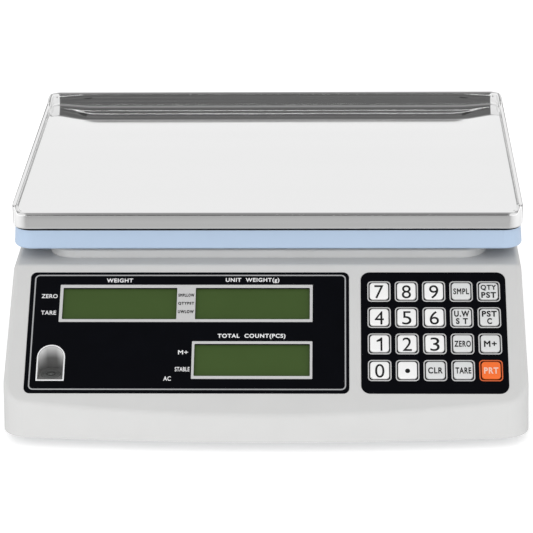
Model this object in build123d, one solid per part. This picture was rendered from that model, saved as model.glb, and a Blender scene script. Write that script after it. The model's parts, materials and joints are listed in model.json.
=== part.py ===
from build123d import *
import math
import os

# Counting scale: a stainless pan on a moulded support, carried by one load cell inside a moulded
# housing with a sloped front panel. Units are millimetres. Origin: middle of the footprint, at the
# surface that the scale stands on. +X is the operator's right, +Y the back, +Z up.

# Driving dimensions of the pan
PAN_LENGTH = 340.0
PAN_DEPTH = 230.0
PAN_CORNER = 10.0
PAN_REAR_HEIGHT = 9.0     # rear rim above the floor of the pan
PAN_SIDE_HEIGHT = 4.0     # side rims above the floor
PAN_SKIRT_HEIGHT = 11.0   # skirt below the floor of the pan
PAN_RIM_WIDTH = 3.0       # folded rim, across
PAN_RIM_END = 4.0         # the rim's two ends, behind the front edge
PAN_ROLL = 2.5            # radius where the floor turns down into the skirt
SHEET = 1.0               # thickness of the stainless sheet
PAN_RIM_EDGE = 1.3        # rounding of the rim's top

# Driving dimensions of the housing
FOOT_GAP = 7.0            # lower edge of the housing above the table
HOUSING_WIDTH = 343.4     # at the lower edge
HOUSING_DRAFT = 1.6       # degrees
HOUSING_CORNER = 16.0
HOUSING_EDGE = 4.0        # rounding of the deck's and the panel's edges
WALL = 2.5
APRON_HEIGHT = 19.0       # from the lower edge to the panel, at the middle
PANEL_SLOPE = 38.7        # degrees from horizontal
PANEL_LENGTH = 111.2      # along the slope, at the middle
BOW_RADIUS = 1650.0       # the front wall is bowed outwards
PLATEAU_HEIGHT = 5.5      # the deck's raised middle, under the pan
REAR_OVERHANG = 7.0       # the pan stands out past the back wall
PAN_SETBACK = 6.0         # front of the pan behind the panel's upper crease

# The pan support
SUPPORT_LENGTH = 341.0    # at its lower edge
SUPPORT_DEPTH = 227.0
SUPPORT_CORNER = 13.0
SUPPORT_DRAFT = 5.0       # degrees
SUPPORT_BAND = 14.0       # height of the visible band
SUPPORT_CLEARANCE = 7.9   # lower edge of the band above the deck
SUPPORT_GAP = 1.3         # between the band and the pan's skirt
SUPPORT_INSET = 9.0       # raised body inside the band
PAD_THICKNESS = 1.5       # rubber between the support and the pan

# Beyond the whole scale, for cuts
BEYOND = 500.0

# Travels
KEY_TRAVEL = 0.7
PLATFORM_TRAVEL = 0.4

slope = math.radians(PANEL_SLOPE)
deck_z = FOOT_GAP + APRON_HEIGHT + PANEL_LENGTH * math.sin(slope)
draft_shift = APRON_HEIGHT * math.tan(math.radians(HOUSING_DRAFT))
panel_run = PANEL_LENGTH * math.cos(slope)
depth = draft_shift + panel_run + PAN_SETBACK + PAN_DEPTH
front_y = -depth / 2
crease_y = front_y + draft_shift + panel_run
pan_y = depth / 2 - PAN_DEPTH / 2
rear_y = depth / 2 - REAR_OVERHANG

band_low = deck_z + SUPPORT_CLEARANCE
band_high = band_low + SUPPORT_BAND
skirt_low = band_high + SUPPORT_GAP
floor_z = skirt_low + PAN_SKIRT_HEIGHT
rim_z = floor_z + PAN_REAR_HEIGHT
support_top = floor_z - SHEET - PAD_THICKNESS
plateau_z = deck_z + PLATEAU_HEIGHT

# Sloped panel: x across, w down the slope from the upper crease, h outwards from its surface
panel_plane = Plane(origin=(0, crease_y, deck_z), x_dir=(1, 0, 0),
                    z_dir=(0, -math.sin(slope), math.cos(slope)))
OVERLAY_W = (6.0, 95.2)
DISPLAY_X = (-156.8, 54.6)
KEYPAD_X = (62.4, 157.9)
OVERLAY_THICKNESS = 0.6
OVERLAY_RECESS = 0.5
DISPLAY_CORNER = 4.0
KEYPAD_CORNER = 6.0

# Keys, five across and four down
KEY_SIZE = 12.3
KEY_CORNER = 2.2
KEY_PITCH_X = 18.05
KEY_PITCH_W = 19.4
KEY_FIRST_X = 74.4
KEY_FIRST_W = 20.4
KEY_HEIGHT = 1.2          # crown above the panel
KEY_FLANGE = 14.0
KEY_GAP = 0.35
KEY_NAMES = (("key_7", "key_8", "key_9", "key_sample", "key_quantity_preset"),
             ("key_4", "key_5", "key_6", "key_unit_weight_set", "key_preset_clear"),
             ("key_1", "key_2", "key_3", "key_zero", "key_memory"),
             ("key_0", "key_point", "key_clear", "key_tare", "key_print"))

# Liquid crystal displays: middle of each on the panel
LCD_SIZE = (75.6, 23.4)   # visible window
LCD_BORDER = 3.0          # glass beyond the window
LCD_DEPTH = 1.6           # glass below the panel surface
LCD_THICKNESS = 2.8
LCD_CENTRES = {"lcd_weight": (-96.9, 29.4), "lcd_unit_weight": (-9.0, 29.4), "lcd_count": (-8.8, 71.0)}

# Level pocket: an arched notch in the panel, cut straight down to a level floor
POCKET_WIDTH = 16.6
POCKET_X = -140.2
POCKET_W = (61.0, 85.4)   # top of its arch and its straight lower edge
POCKET_WALL = 2.0
VIAL_DIAMETER = 13.4
VIAL_SETBACK = 10.5       # middle of the vial above the arch's lower edge, along the slope
VIAL_HEIGHT = 7.5
pocket_floor_z = deck_z - POCKET_W[1] * math.sin(slope)
vial_y = crease_y - (POCKET_W[1] - VIAL_SETBACK) * math.cos(slope)

# Main board, parallel to the panel: its two faces below the panel surface
BOARD_LOW, BOARD_HIGH = -12.2, -10.6

# Load cell and what carries it
CELL = (130.0, 30.0, 22.0)
CELL_Z = 58.0
CELL_END = 40.0           # length of each solid end
BOLT = 6.0
CELL_BOLT_X = (44.0, 56.0)
SPIDER_THICKNESS = 6.0
SPIDER_LIFT = 2.0         # above the plateau
SPIDER_REACH = (120.0, 75.0)
spider_low = plateau_z + SPIDER_LIFT
spider_high = spider_low + SPIDER_THICKNESS

# Base plate and feet
PLATE_LOW = 11.0
PLATE = 2.0
plate_high = PLATE_LOW + PLATE
FOOT_X = 138.0
FOOT_Y = (-115.0, 128.0)
FOOT_POSITIONS = {"front_left": (-FOOT_X, FOOT_Y[0]), "front_right": (FOOT_X, FOOT_Y[0]),
                  "rear_left": (-FOOT_X, FOOT_Y[1]), "rear_right": (FOOT_X, FOOT_Y[1])}
FOOT_PAD = (28.0, 4.6)
FOOT_WHEEL = (24.0, 4.6)
STUD = 8.0
RUNNING = 0.05            # radial clearance of a running fit
SCREW = 3.0
SCREW_POSITIONS = [(x, y) for x in (-161.5, 161.5) for y in (-95.0, 40.0, 145.0)]
BATTERY = (101.0, 70.0, 47.0)
BATTERY_X, BATTERY_Y = 78.0, 98.0
STRAP_WIDTH = 16.0
battery_low = plate_high
SWITCH_Y, SWITCH_Z = 60.0, 48.0
ROCKER_THROW = 20.0       # degrees, off to on
ROCKER_PIN = 2.0
JACK_X, SERIAL_X, PORT_Z = -70.0, -20.0, 32.0

parts = {}


def solid_between(outline, low, high, taper=0.0):
    """The outline, drawn on XY, made a solid from one height to another."""
    return extrude(Pos(0, 0, low) * outline, high - low, taper=taper)


def rounded_box(x, y, size_x, size_y, low, high, radius, taper=0.0):
    return Pos(x, y, 0) * solid_between(RectangleRounded(size_x, size_y, radius), low, high, taper)


def rod(x, y, diameter, low, high):
    return Pos(x, y, (low + high) / 2) * Cylinder(diameter / 2, high - low)


def on_panel(shape, x, w, h=0.0):
    return panel_plane.location * Pos(x, -w, h) * shape


def panel_slab(x_range, w_range, low, high, radius):
    """A rounded plate that lies parallel to the sloped panel."""
    outline = RectangleRounded(x_range[1] - x_range[0], w_range[1] - w_range[0], radius)
    return on_panel(extrude(outline, high - low), sum(x_range) / 2, sum(w_range) / 2, low)


def grown(pair, margin):
    return (pair[0] - margin, pair[1] + margin)


def key_places():
    for row, names in enumerate(KEY_NAMES):
        for column, name in enumerate(names):
            yield name, KEY_FIRST_X + column * KEY_PITCH_X, KEY_FIRST_W + row * KEY_PITCH_W


def housing_plan(inset):
    """Outline of the housing at its lower edge, with a bowed front."""
    half = HOUSING_WIDTH / 2 - inset
    front = front_y + inset
    corner_y = front + half ** 2 / (2 * BOW_RADIUS)
    rear = rear_y - inset
    bow = ThreePointArc((-half, corner_y), (0, front), (half, corner_y))
    back = Polyline((half, corner_y), (half, rear), (-half, rear), (-half, corner_y))
    plan = make_face([bow, *back.edges()])
    return fillet(plan.vertices(), HOUSING_CORNER - inset)


def housing_form(inset):
    """The closed form of the housing, or the form inside its walls."""
    form = solid_between(housing_plan(inset), FOOT_GAP, deck_z - inset, HOUSING_DRAFT)
    above_panel = on_panel(Box(BEYOND, BEYOND, BEYOND), 0, 0, BEYOND / 2 - inset)
    return form - above_panel


def plateau(inset, low, high):
    """The raised middle of the deck, under the pan."""
    front = crease_y + 12.0 + inset
    rear = rear_y - 9.0 - inset
    return rounded_box(0, (front + rear) / 2, 295 - 2 * inset, rear - front, low, high,
                       18.0 - inset, 12.0)


def pocket_prism(margin, low):
    """The pocket's form: an arch drawn on the panel and carried straight down to a level floor."""
    radius = POCKET_WIDTH / 2 + margin
    top, bottom = POCKET_W[0] - margin, POCKET_W[1] + margin
    height = bottom - top - radius
    arch = Pos(0, -(top + radius)) * Circle(radius)
    arch += Pos(0, -(bottom - height / 2)) * Rectangle(2 * radius, height)
    face = panel_plane.location * Pos(POCKET_X, 0) * arch
    prism = extrude(face, 60, dir=(0, 0, 1), both=True)
    return prism & Pos(0, 0, low + BEYOND / 2) * Box(BEYOND, BEYOND, BEYOND)


def make_top_housing():
    outer = housing_form(0)
    rims = outer.faces().sort_by(Axis.Z)[-1].edges()
    panel = outer.faces().filter_by(lambda f: abs(f.normal_at().dot(panel_plane.z_dir) - 1) < 1e-4)
    rims += panel.sort_by(SortBy.AREA)[-1].edges()
    outer = fillet(ShapeList(set(rims)), HOUSING_EDGE)
    raised = plateau(0, deck_z - WALL / 2, plateau_z)
    raised = fillet(raised.faces().sort_by(Axis.Z)[-1].edges(), 2.0)
    body = outer + raised
    body -= housing_form(WALL)
    body -= plateau(WALL, deck_z - WALL - 1, plateau_z - WALL)

    # what stands on the inside of the shell
    inside = housing_form(WALL - 0.2)
    bosses = [rod(x, y, 8.0, plate_high, deck_z) for x, y in SCREW_POSITIONS]
    pocket_block = pocket_prism(POCKET_WALL, pocket_floor_z - POCKET_WALL)
    switch_block = Pos(HOUSING_WIDTH / 2 - 6.0, SWITCH_Y, SWITCH_Z) * Box(8.0, 26.0, 32.0)
    for piece in (*bosses, pocket_block, switch_block):
        body += piece & inside
    for x, y in SCREW_POSITIONS:
        body -= rod(x, y, SCREW + 0.1, plate_high - 1, plate_high + 16)

    # openings in the deck and in the panel
    body -= rounded_box(0, pan_y, 144, 46, deck_z - 20, plateau_z + 5, 6)
    body -= pocket_prism(0, pocket_floor_z)
    body -= rod(POCKET_X, vial_y, VIAL_DIAMETER + 0.2, pocket_floor_z - 5, pocket_floor_z + 5)
    for x_range, corner in ((DISPLAY_X, DISPLAY_CORNER), (KEYPAD_X, KEYPAD_CORNER)):
        body -= panel_slab(grown(x_range, 0.15), grown(OVERLAY_W, 0.15), -OVERLAY_RECESS, 5, corner)
    body -= panel_slab((65.5, 154.5), (11.5, 87.5), -WALL - 1, 5, 4)
    for x, w in LCD_CENTRES.values():
        body -= panel_slab(grown((x, x), LCD_SIZE[0] / 2 + 0.6), grown((w, w), LCD_SIZE[1] / 2 + 0.6),
                           -WALL - 1, 5, 1.0)
        body -= panel_slab(grown((x, x), LCD_SIZE[0] / 2 + LCD_BORDER + 0.3),
                           grown((w, w), LCD_SIZE[1] / 2 + LCD_BORDER + 0.3), -WALL - 1, -LCD_DEPTH, 1.0)

    # openings for the switch, the charger jack and the serial port
    body -= Pos(HOUSING_WIDTH / 2, SWITCH_Y, SWITCH_Z) * Box(9.0, 19.0, 25.0)
    body -= Pos(HOUSING_WIDTH / 2 - 8, SWITCH_Y, SWITCH_Z) * Box(16.0, 13.4, 19.4)
    body -= Pos(JACK_X, rear_y, PORT_Z) * Rot(90, 0, 0) * Cylinder(4.1, 12)
    body -= Pos(SERIAL_X, rear_y, PORT_Z) * Box(19.4, 12, 10.4)
    return body


def make_base_plate():
    plate = solid_between(housing_plan(WALL + 1.0), PLATE_LOW, plate_high)
    flange = solid_between(housing_plan(WALL + 1.0), plate_high, plate_high + 7)
    plate += flange - solid_between(housing_plan(WALL + 1.0 + PLATE), plate_high - 1, plate_high + 8)
    for x, y in SCREW_POSITIONS:
        plate -= rod(x, y, 9.0, plate_high, plate_high + 9)
        plate -= rod(x, y, SCREW + 0.6, 0, plate_high + 1)
    for x, y in FOOT_POSITIONS.values():
        plate += rod(x, y, 15.0, plate_high, plate_high + 12)
        plate -= rod(x, y, STUD + 2 * RUNNING, 0, plate_high + 20)
    for x in CELL_BOLT_X:
        plate -= rod(-x, pan_y, BOLT + 0.4, 0, plate_high + 1)
    stop_x = CELL_BOLT_X[1] - 6
    plate += rod(stop_x, pan_y, 14.0, plate_high, plate_high + 26)
    plate -= rod(stop_x, pan_y, BOLT + 0.1, 0, plate_high + 30)
    for y in (-100, -60, -20):
        plate += Pos(0, y, plate_high + 1.5) * Box(240, 6, 3)
    return plate


def make_housing_screws():
    return [rod(x, y, SCREW, PLATE_LOW, plate_high + 14) + rod(x, y, 6.5, PLATE_LOW - 2.2, PLATE_LOW)
            for x, y in SCREW_POSITIONS]


def make_foot(x, y):
    """A levelling foot: a rubber pad, and a stud with its wheel, which turns in the pad."""
    pad_width, pad_high = FOOT_PAD
    wheel_width, wheel_height = FOOT_WHEEL
    pad = rod(x, y, pad_width, 0, pad_high)
    pad = fillet(pad.edges().filter_by(GeomType.CIRCLE), 0.8)
    pad -= rod(x, y, 10.6, 2.0, pad_high + 1)
    wheel_low = pad_high + 0.3
    wheel = rod(x, y, wheel_width, wheel_low, wheel_low + wheel_height)
    notches = [Pos(x, y, 0) * Rot(0, 0, 30 * i) * rod(wheel_width / 2 + 0.6, 0, 3.2, 0, 20)
               for i in range(12)]
    stud = wheel - notches + rod(x, y, STUD, wheel_low + 1, plate_high + 20)
    stud += rod(x, y, 10, 2.3, wheel_low + 1)
    return pad, chamfer(stud.edges().filter_by(GeomType.CIRCLE).sort_by(Axis.Z)[-1], 0.8)


def make_load_cell():
    """A single-point cell: a bar with a window that leaves thin bending beams."""
    length, width, height = CELL
    cell = Pos(0, pan_y, CELL_Z + height / 2) * Box(length, width, height)
    window = [Pos(x, pan_y, CELL_Z + height / 2) * Rot(90, 0, 0) * Cylinder(height / 2 - 2.2, width + 2)
              for x in (-16, 16)]
    cell -= window
    cell -= Pos(0, pan_y, CELL_Z + height / 2) * Box(32, width + 2, 10)
    for x in CELL_BOLT_X:
        cell -= rod(x, pan_y, BOLT + 0.1, CELL_Z + height - 14, CELL_Z + height + 1)
        cell -= rod(-x, pan_y, BOLT + 0.1, CELL_Z - 1, CELL_Z + 14)
    return cell


def make_cell_pedestal():
    middle = -sum(CELL_BOLT_X) / 2
    foot = rounded_box(middle, pan_y, 52, 46, plate_high, plate_high + 6, 4)
    post = rounded_box(middle, pan_y, CELL_END - 10, CELL[1], plate_high + 5, CELL_Z, 3)
    block = foot + post
    for x in CELL_BOLT_X:
        block -= rod(-x, pan_y, BOLT + 0.4, 0, CELL_Z + 1)
    return block


def socket_screw(x, y, low, high, head_up):
    """A hexagon socket screw whose shank runs from low to high."""
    head = 5.5
    start = high if head_up else low - head
    screw = rod(x, y, BOLT, low, high) + rod(x, y, 10.0, start, start + head)
    socket_low = high + head - 3 if head_up else low - head
    return screw - Pos(x, y, 0) * solid_between(RegularPolygon(2.9, 6), socket_low, socket_low + 3)


def make_spider():
    """The cast cross that joins the load cell to the pan support."""
    reach_x, reach_y = SPIDER_REACH
    plate = rounded_box(20, pan_y, 110, 54, spider_low, spider_high, 6)
    angle = math.degrees(math.atan2(reach_y, reach_x))
    arm_length = 2 * math.hypot(reach_x, reach_y)
    for turn in (angle, -angle):
        arm = extrude(Rectangle(arm_length, 18), SPIDER_THICKNESS)
        plate += Pos(0, pan_y, spider_low) * Rot(0, 0, turn) * arm
    for x, y in support_points():
        plate += rod(x, y, 24, spider_low, spider_high)
        plate -= rod(x, y, 4.1, 0, 200)
    for x in CELL_BOLT_X:
        plate -= rod(x, pan_y, BOLT + 0.4, 0, 200)
    return plate


def support_points():
    reach_x, reach_y = SPIDER_REACH
    return [(sx * reach_x, pan_y + sy * reach_y) for sx in (-1, 1) for sy in (-1, 1)]


def make_pan_support():
    """The moulded tray under the pan: a visible band and a raised body that locates the pan."""
    inset = SUPPORT_INSET
    body = rounded_box(0, pan_y, SUPPORT_LENGTH, SUPPORT_DEPTH, band_low, band_high,
                       SUPPORT_CORNER, SUPPORT_DRAFT)
    body = fillet(body.faces().sort_by(Axis.Z)[0].edges(), 1.8)
    raised = rounded_box(0, pan_y, SUPPORT_LENGTH - 2 * inset, SUPPORT_DEPTH - 2 * inset,
                         band_high - 1, support_top, 8)
    body += fillet(raised.faces().sort_by(Axis.Z)[-1].edges(), 1.5)
    body -= rounded_box(0, pan_y, SUPPORT_LENGTH - 10, SUPPORT_DEPTH - 10, band_low - 1,
                        band_high - WALL, 9)
    body -= rounded_box(0, pan_y, SUPPORT_LENGTH - 2 * inset - 5, SUPPORT_DEPTH - 2 * inset - 5,
                        band_high - WALL - 1, support_top - WALL, 6)
    rib_low = spider_high + 7.5
    for x in (-150, -90, -30, 30, 90, 150):
        body += Pos(x, pan_y, (rib_low + support_top - 1) / 2) * Box(2, 200, support_top - 1 - rib_low)
    for y in (-90, -45, 0, 45, 90):
        body += Pos(0, pan_y + y, (rib_low + support_top - 1) / 2) * Box(310, 2, support_top - 1 - rib_low)
    for x, y in support_points():
        body += rod(x, y, 14, spider_high, support_top - 1)
        body -= rod(x, y, 4.4, 0, 200)
        body -= rod(x, y, 9.0, support_top - 3, 200)
    for x, y in pad_points():
        body -= rod(x, y, 12.4, support_top - 0.5, 200)
    return body


def make_support_screws():
    return [rod(x, y, 4.0, spider_low, support_top - 3) + rod(x, y, 8.0, support_top - 3, support_top - 0.4)
            for x, y in support_points()]


def pad_points():
    return [(sx * 145.0, pan_y + sy * 90.0) for sx in (-1, 1) for sy in (-1, 1)]


def make_support_pads():
    return [rod(x, y, 12.0, support_top - 0.5, floor_z - SHEET) for x, y in pad_points()]


def pan_block(inset, low, high):
    return rounded_box(0, pan_y, PAN_LENGTH - 2 * inset, PAN_DEPTH - 2 * inset, low, high,
                       PAN_CORNER - inset)


def pan_rim(height):
    """A folded rim all round, open inside, from below the roll up to a height above the floor."""
    rim = pan_block(0, floor_z - PAN_ROLL - SHEET, floor_z + height)
    rim = fillet(rim.faces().sort_by(Axis.Z)[-1].edges(), PAN_RIM_EDGE)
    return rim - pan_block(PAN_RIM_WIDTH, 0, BEYOND)


def make_pan():
    """Folded sheet: floor, low side rims, a higher rear rim that turns the corners, and a skirt."""
    pan_front, pan_rear = pan_y - PAN_DEPTH / 2, pan_y + PAN_DEPTH / 2
    body = pan_block(0, skirt_low, floor_z)
    body = fillet(body.faces().sort_by(Axis.Z)[-1].edges(), PAN_ROLL)
    # the side rims are open to the front, and their ends stand a little behind the front edge
    sides = pan_rim(PAN_SIDE_HEIGHT)
    sides -= Pos(0, pan_front, rim_z) * Box(PAN_LENGTH - 2 * PAN_RIM_WIDTH, 60, 80)
    sides -= Pos(0, pan_front + PAN_RIM_END - 20, rim_z) * Box(PAN_LENGTH + 20, 40, 80)
    rear = pan_rim(PAN_REAR_HEIGHT) & Pos(0, pan_rear, rim_z) * Box(PAN_LENGTH + 20, 2 * PAN_CORNER, 80)
    pan = body + sides + rear
    # underside of the floor, and the hollows of the folded rims
    pan -= pan_block(SHEET, skirt_low - 1, floor_z - SHEET - PAN_ROLL)
    pan -= pan_block(SHEET + PAN_ROLL - 1, skirt_low - 1, floor_z - SHEET)
    hollow_low = floor_z - 3
    for height, start in ((PAN_SIDE_HEIGHT, pan_front + PAN_CORNER + SHEET),
                          (PAN_REAR_HEIGHT, pan_rear - PAN_CORNER + SHEET)):
        hollow = pan_block(SHEET, hollow_low, floor_z + height - SHEET)
        hollow -= pan_block(PAN_RIM_WIDTH - SHEET, 0, BEYOND)
        pan -= hollow & Pos(0, start + BEYOND / 2, floor_z) * Box(BEYOND, BEYOND, 40)
    return pan


def make_display_overlay():
    sheet = panel_slab(DISPLAY_X, OVERLAY_W, -OVERLAY_RECESS, OVERLAY_THICKNESS - OVERLAY_RECESS,
                       DISPLAY_CORNER)
    for x, w in LCD_CENTRES.values():
        sheet -= panel_slab(grown((x, x), LCD_SIZE[0] / 2), grown((w, w), LCD_SIZE[1] / 2), -3, 3, 0.6)
    return sheet - pocket_prism(0.1, pocket_floor_z - 1)


def make_keypad_overlay():
    sheet = panel_slab(KEYPAD_X, OVERLAY_W, -OVERLAY_RECESS, OVERLAY_THICKNESS - OVERLAY_RECESS,
                       KEYPAD_CORNER)
    half = KEY_SIZE / 2 + KEY_GAP
    for _, x, w in key_places():
        sheet -= panel_slab(grown((x, x), half), grown((w, w), half), -3, 3, KEY_CORNER + KEY_GAP)
    return sheet


def make_key(x, w):
    half = KEY_SIZE / 2
    cap = panel_slab(grown((x, x), half), grown((w, w), half), -1.8, KEY_HEIGHT, KEY_CORNER)
    top = cap.faces().sort_by(lambda f: panel_plane.to_local_coords(f.center()).Z)[-1]
    cap = fillet(top.edges(), 0.5)
    flange = KEY_FLANGE / 2
    return cap + panel_slab(grown((x, x), flange), grown((w, w), flange), -2.2, -1.1, KEY_CORNER)


def make_key_mat():
    mat = panel_slab((66.0, 154.0), (12.0, 87.0), -4.6, -3.7, 3)
    for _, x, w in key_places():
        mat += on_panel(Cone(4.0, 2.6, 0.8), x, w, -3.7 + 0.35)
    return mat


def make_keypad_board():
    return panel_slab((64.5, 155.5), (10.5, 88.5), -6.2, -4.6, 2)


def make_lcd(x, w):
    half_x = LCD_SIZE[0] / 2 + LCD_BORDER
    half_w = LCD_SIZE[1] / 2 + LCD_BORDER
    low = -LCD_DEPTH - LCD_THICKNESS
    glass = panel_slab(grown((x, x), half_x), grown((w, w), half_w), low, -LCD_DEPTH, 0.8)
    return glass + panel_slab(grown((x, x), half_x - 6), grown((w, w), half_w - 4), low - 3, low, 1.0)


def board_points():
    return [(x, w) for x in (-118.0, 32.0) for w in (11.0, 91.0)]


def make_main_board():
    board = panel_slab((-123.0, 37.0), (8.0, 94.0), BOARD_LOW, BOARD_HIGH, 2)
    board += panel_slab((-40.0, -20.0), (48.0, 56.0), BOARD_HIGH, BOARD_HIGH + 2.0, 0.5)
    board += panel_slab((-95.0, -75.0), (60.0, 80.0), BOARD_LOW - 2.5, BOARD_LOW, 0.5)
    for x, w in board_points():
        board -= on_panel(Cylinder(1.7, 6), x, w, BOARD_HIGH)
    return board


def make_board_standoffs():
    pieces = []
    for x, w in board_points():
        post = on_panel(Cylinder(2.8, -WALL - BOARD_HIGH), x, w, (BOARD_HIGH - WALL) / 2)
        tip = on_panel(Cylinder(1.5, 3.2), x, w, BOARD_HIGH - 1.6)
        pieces.append(post + tip)
    return pieces


def make_level_vial():
    """A round spirit level that fills the hole in the pocket's floor."""
    top = pocket_floor_z + 0.4
    vial = rod(POCKET_X, vial_y, VIAL_DIAMETER, top - VIAL_HEIGHT, top)
    return fillet(vial.edges().filter_by(GeomType.CIRCLE), 0.5)


def make_battery():
    length, width, height = BATTERY
    block = rounded_box(BATTERY_X, BATTERY_Y, length, width, battery_low, battery_low + height, 2)
    for y in (-20, 20):
        block += Pos(BATTERY_X - length / 2 - 2, BATTERY_Y + y, battery_low + height - 8) * Box(6, 4.8, 0.8)
    return block


def make_battery_strap():
    """A steel band over the battery, with a foot on each side."""
    length, width, height = BATTERY
    gap = 0.2
    outer = Box(STRAP_WIDTH, width + 2 * (gap + SHEET), height + gap + SHEET)
    inner = Box(STRAP_WIDTH + 4, width + 2 * gap, height + gap)
    rise = (height + gap + SHEET) / 2
    strap = Pos(0, 0, rise) * outer - Pos(0, 0, (height + gap) / 2) * inner
    strap += Pos(0, 0, SHEET / 2) * (Box(STRAP_WIDTH, width + 26, SHEET)
                                     - Box(STRAP_WIDTH + 4, width + 2 * gap, SHEET))
    return Pos(BATTERY_X, BATTERY_Y, battery_low) * strap


def make_dc_jack():
    """A barrel jack: housing inside the back wall, threaded neck through it, socket with a pin."""
    inner_wall = rear_y - WALL - 1.2
    jack = Pos(JACK_X, inner_wall - 6, PORT_Z) * Box(12, 12, 11)
    jack += Pos(JACK_X, inner_wall + 2.6, PORT_Z) * Rot(90, 0, 0) * Cylinder(4.0, 6.0)
    jack += Pos(JACK_X, rear_y + 1.2, PORT_Z) * Rot(90, 0, 0) * Cylinder(5.8, 2.0)
    jack -= Pos(JACK_X, inner_wall + 1, PORT_Z) * Rot(90, 0, 0) * Cylinder(2.75, 12)
    return jack + Pos(JACK_X, inner_wall, PORT_Z) * Rot(90, 0, 0) * Cylinder(1.0, 11)


def make_serial_port():
    """A nine-pin port: flange outside the back wall, body inside, hollow shell with pins."""
    flange = Pos(SERIAL_X, rear_y + 0.75, PORT_Z) * Box(31, 1.0, 12.5)
    body = Pos(SERIAL_X, rear_y - 5.5, PORT_Z) * Box(19, 12, 10)
    shell = Pos(SERIAL_X, rear_y + 3.4, PORT_Z) * (Box(17, 5, 8.4) - Box(15.6, 6, 7))
    port = flange + body + shell
    for row, count in ((1.4, 5), (-1.4, 4)):
        for i in range(count):
            offset = (i - (count - 1) / 2) * 2.76
            port += Pos(SERIAL_X + offset, rear_y + 2.6, PORT_Z + row) * Rot(90, 0, 0) * Cylinder(0.5, 4)
    return port


def switch_face():
    """X of the floor of the switch's recess in the right-hand wall."""
    return HOUSING_WIDTH / 2 - 4.5


def rocker_axle(diameter, length):
    """A round bar on the rocker's axis."""
    return Pos(switch_face() - 2.0, SWITCH_Y, SWITCH_Z) * Rot(90, 0, 0) * Cylinder(diameter / 2, length)


def make_power_switch():
    face = switch_face()
    case = Pos(face - 7, SWITCH_Y, SWITCH_Z) * Box(14, 13, 19)
    case += Pos(face + 0.6, SWITCH_Y, SWITCH_Z) * Box(1.2, 15, 21)
    case -= Pos(face - 2, SWITCH_Y, SWITCH_Z) * Box(11, 10.6, 16.0)
    case -= rocker_axle(ROCKER_PIN + 2 * RUNNING, 14)
    for z in (-5, 5):
        case += Pos(face - 17, SWITCH_Y, SWITCH_Z + z) * Box(6.2, 4.8, 0.8)
    return case


def make_power_rocker():
    """The rocker, at rest with its upper half out. It turns about an axis along Y."""
    face = switch_face()
    half = ROCKER_THROW / 2
    blank = Pos(face - 1.0, SWITCH_Y, SWITCH_Z) * Box(7.0, 9.8, 13.6)
    pivot = Pos(face - 2.0, SWITCH_Y, SWITCH_Z)
    hollow = pivot * Pos(24.6, 0, 0) * Rot(90, 0, 0) * Cylinder(21.0, 12)
    tilted = pivot * Rot(0, half, 0) * pivot.inverse() * (blank - hollow)
    return tilted + rocker_axle(ROCKER_PIN, 12.6)


def tube(points, radii, diameter):
    """A cable along straight runs joined by tangent arcs."""
    route = FilletPolyline(*points, radius=radii)
    start = Plane(origin=points[0], z_dir=Vector(*points[1]) - Vector(*points[0]))
    return sweep(start * Circle(diameter / 2), path=route)


def panel_point(x, w, h):
    place = (panel_plane.location * Pos(x, -w, h)).position
    return (place.X, place.Y, place.Z)


def make_load_cell_cable():
    cell_z = CELL_Z + CELL[2] / 2
    points = [(-65, pan_y, cell_z), (-86, pan_y, cell_z), (-96, pan_y - 34, cell_z - 8),
              (-96, -22, 56), panel_point(-104, 52, -32), panel_point(-104, 52, BOARD_LOW)]
    return tube(points, (8, 12, 16, 8), 4.0)


def make_battery_lead():
    top = battery_low + BATTERY[2] - 8
    start = (BATTERY_X - BATTERY[0] / 2 - 5, BATTERY_Y - 20, top)
    points = [start, (8, BATTERY_Y - 20, top), (-2, 62, 40), (14, 6, 30), (20, -34, 34),
              panel_point(20, 52, -32), panel_point(20, 52, BOARD_LOW)]
    return tube(points, (5, 8, 14, 14, 8), 3.6)


def add(name, shape):
    """Keep a node: one solid, or a group of identical ones."""
    pieces = shape if isinstance(shape, list) else [shape]
    solids = [s for piece in pieces for s in piece.solids()]
    parts[name] = solids[0] if len(solids) == 1 else Compound(children=solids)


add("top_housing", make_top_housing())
add("base_plate", make_base_plate())
add("housing_screws", make_housing_screws())
for corner, (foot_x, foot_y) in FOOT_POSITIONS.items():
    foot_pad, foot_stud = make_foot(foot_x, foot_y)
    add("foot_pad_" + corner, foot_pad)
    add("foot_stud_" + corner, foot_stud)
add("load_cell", make_load_cell())
add("cell_pedestal", make_cell_pedestal())
add("cell_lower_screws", [socket_screw(-x, pan_y, PLATE_LOW, CELL_Z + 12, False) for x in CELL_BOLT_X])
add("cell_spacer", rounded_box(sum(CELL_BOLT_X) / 2, pan_y, 26, CELL[1], CELL_Z + CELL[2], spider_low, 2)
    - [rod(x, pan_y, BOLT + 0.4, 0, 200) for x in CELL_BOLT_X])
add("cell_upper_screws",
    [socket_screw(x, pan_y, CELL_Z + CELL[2] - 12, spider_high, True) for x in CELL_BOLT_X])
add("overload_stop",
    socket_screw(CELL_BOLT_X[1] - 6, pan_y, PLATE_LOW, CELL_Z - PLATFORM_TRAVEL - 0.1, False))
add("spider", make_spider())
add("support_screws", make_support_screws())
add("pan_support", make_pan_support())
add("support_pads", make_support_pads())
add("pan", make_pan())
add("display_overlay", make_display_overlay())
add("keypad_overlay", make_keypad_overlay())
for key_name, key_x, key_w in key_places():
    add(key_name, make_key(key_x, key_w))
add("key_mat", make_key_mat())
add("keypad_board", make_keypad_board())
for lcd_name, (lcd_x, lcd_w) in LCD_CENTRES.items():
    add(lcd_name, make_lcd(lcd_x, lcd_w))
add("main_board", make_main_board())
add("board_standoffs", make_board_standoffs())
add("level_vial", make_level_vial())
add("battery", make_battery())
add("battery_strap", make_battery_strap())
add("battery_lead", make_battery_lead())
add("load_cell_cable", make_load_cell_cable())
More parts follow.
